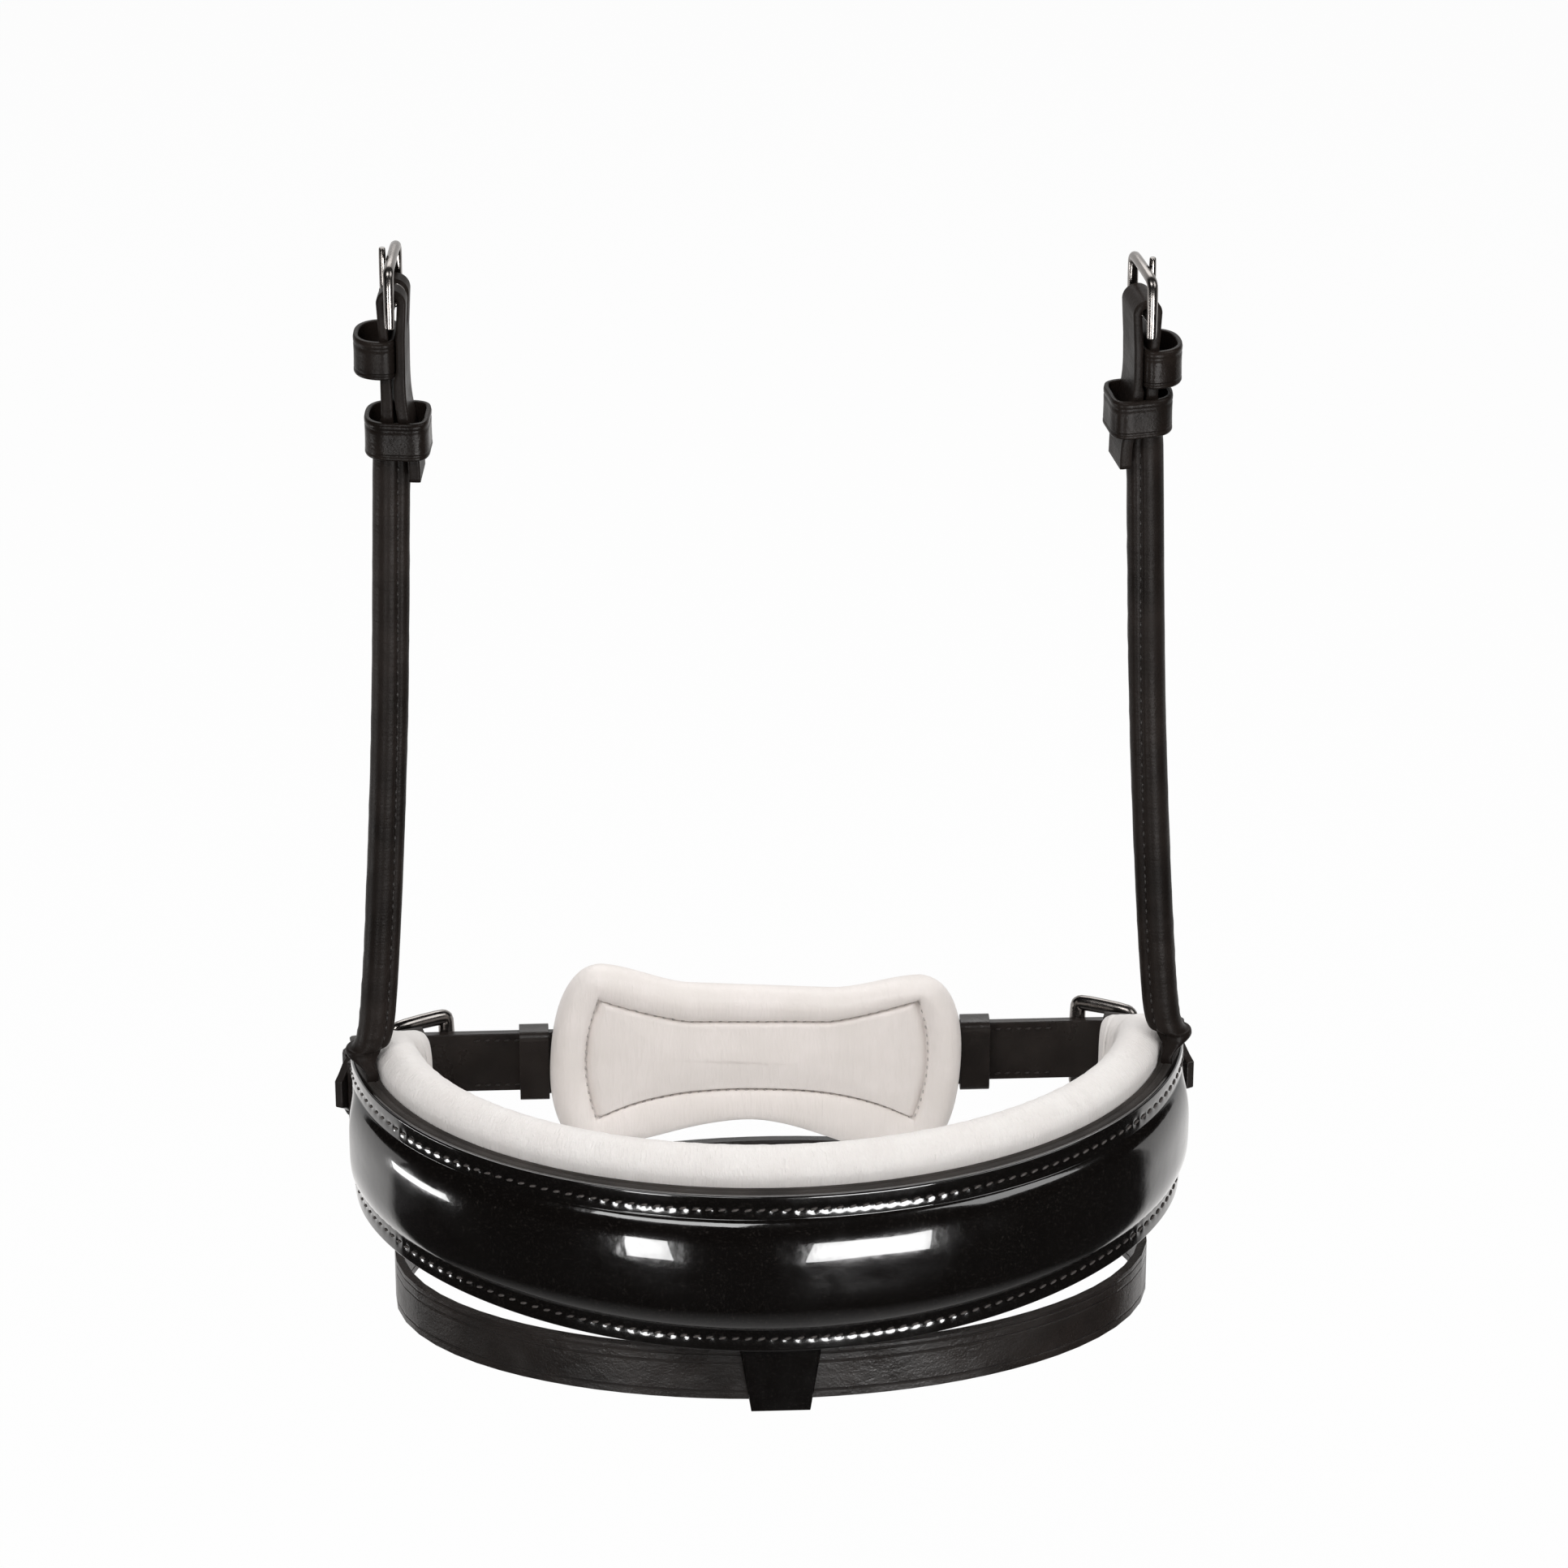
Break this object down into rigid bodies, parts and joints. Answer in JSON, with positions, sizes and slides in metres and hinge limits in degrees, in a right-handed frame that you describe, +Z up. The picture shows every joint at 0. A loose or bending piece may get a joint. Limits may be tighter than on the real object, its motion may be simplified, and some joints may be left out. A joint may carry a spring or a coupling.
{
  "type": "noseband",
  "caption": "Padded noseband with a raised glossy nosepiece, rolled cheek straps with buckles, a chin strap with a sliding pad, and a flash strap through a front loop.",
  "frame": {"origin": "middle of the bounding box in plan, level with the lowest point, which is the flash strap's buckle", "axes": "+X to the right in the picture, +Y from the front of the nosepiece back towards the chin strap, +Z up the cheek straps"},
  "size_m": [0.2474, 0.1288, 0.3246],
  "materials": {
    "patent_leather": "high gloss black",
    "black_leather": "semi-matt black, fine grain",
    "white_leather": "soft satin white",
    "pad_foam": "soft foam filling",
    "gunmetal": "polished dark gunmetal"
  },
  "bodies": {
    "nosepiece": {"nosepiece_backing": "black_leather", "nosepiece_face": "patent_leather", "crown_filler": "pad_foam", "nose_pad_cover": "white_leather", "nose_pad_foam": "pad_foam", "flash_loop": "patent_leather", "cheek_strap_left": "black_leather", "upper_keeper_left": "black_leather", "chin_chape_left": "black_leather", "chin_keeper_left": "black_leather", "cheek_strap_right": "black_leather", "upper_keeper_right": "black_leather", "chin_chape_right": "black_leather", "chin_keeper_right": "black_leather", "chin_strap": "black_leather"},
    "top_buckle_left": {"top_frame_left": "gunmetal"},
    "top_prong_left": {"top_tongue_left": "gunmetal"},
    "runner_left": {"lower_keeper_left": "black_leather"},
    "chin_buckle_left": {"chin_frame_left": "gunmetal"},
    "chin_prong_left": {"chin_tongue_left": "gunmetal"},
    "top_buckle_right": {"top_frame_right": "gunmetal"},
    "top_prong_right": {"top_tongue_right": "gunmetal"},
    "runner_right": {"lower_keeper_right": "black_leather"},
    "chin_buckle_right": {"chin_frame_right": "gunmetal"},
    "chin_prong_right": {"chin_tongue_right": "gunmetal"},
    "chin_pad": {"chin_pad_cover": "white_leather", "chin_pad_foam": "pad_foam", "chin_pad_plate": "black_leather", "chin_runner_left": "black_leather", "chin_runner_right": "black_leather"},
    "flash": {"flash_strap": "black_leather", "flash_keeper": "black_leather"},
    "flash_buckle": {"flash_frame": "gunmetal"},
    "flash_prong": {"flash_tongue": "gunmetal"}
  },
  "joints": [
    {"name": "top_buckle_left_swing", "type": "hinge", "parent": "nosepiece", "child": "top_buckle_left", "pos_m": [-0.0998, 0.012, 0.311], "axis": [-0.1045, -0.9945, 0], "range_deg": [-60, 60]},
    {"name": "top_prong_left_swing", "type": "hinge", "parent": "top_buckle_left", "child": "top_prong_left", "pos_m": [-0.0998, 0.012, 0.311], "axis": [-0.1045, -0.9945, 0], "range_deg": [0, 60]},
    {"name": "runner_left_slide", "type": "slide", "parent": "nosepiece", "child": "runner_left", "axis": [0, 0, 1], "range_m": [-0.004, 0.006]},
    {"name": "chin_buckle_left_play", "type": "hinge", "parent": "nosepiece", "child": "chin_buckle_left", "pos_m": [-0.10677, 0.05171, 0.049], "axis": [0, 0, 1], "range_deg": [0, 2]},
    {"name": "chin_prong_left_play", "type": "hinge", "parent": "chin_buckle_left", "child": "chin_prong_left", "pos_m": [-0.10677, 0.05171, 0.049], "axis": [0, 0, 1], "range_deg": [0, 2]},
    {"name": "top_buckle_right_swing", "type": "hinge", "parent": "nosepiece", "child": "top_buckle_right", "pos_m": [0.0998, 0.012, 0.304], "axis": [-0.1736, 0.9848, 0], "range_deg": [-60, 60]},
    {"name": "top_prong_right_swing", "type": "hinge", "parent": "top_buckle_right", "child": "top_prong_right", "pos_m": [0.0998, 0.012, 0.304], "axis": [-0.1736, 0.9848, 0], "range_deg": [0, 60]},
    {"name": "runner_right_slide", "type": "slide", "parent": "nosepiece", "child": "runner_right", "axis": [0, 0, 1], "range_m": [-0.004, 0.003]},
    {"name": "chin_buckle_right_play", "type": "hinge", "parent": "nosepiece", "child": "chin_buckle_right", "pos_m": [0.10677, 0.05171, 0.049], "axis": [0, 0, -1], "range_deg": [0, 2]},
    {"name": "chin_prong_right_play", "type": "hinge", "parent": "chin_buckle_right", "child": "chin_prong_right", "pos_m": [0.10677, 0.05171, 0.049], "axis": [0, 0, -1], "range_deg": [0, 2]},
    {"name": "chin_pad_slide", "type": "slide", "parent": "nosepiece", "child": "chin_pad", "axis": [1, 0, 0], "range_m": [-0.008, 0.008]},
    {"name": "flash_swing", "type": "hinge", "parent": "nosepiece", "child": "flash", "pos_m": [0, -0.05409, 0.0115], "axis": [1, 0, 0], "range_deg": [-5, 0]},
    {"name": "flash_buckle_play", "type": "hinge", "parent": "flash", "child": "flash_buckle", "pos_m": [-0.07229, 0.04374, 0.0115], "axis": [0, 0, -1], "range_deg": [0, 2]},
    {"name": "flash_prong_play", "type": "hinge", "parent": "flash_buckle", "child": "flash_prong", "pos_m": [-0.07229, 0.04374, 0.0115], "axis": [0, 0, -1], "range_deg": [0, 2]}
  ]
}
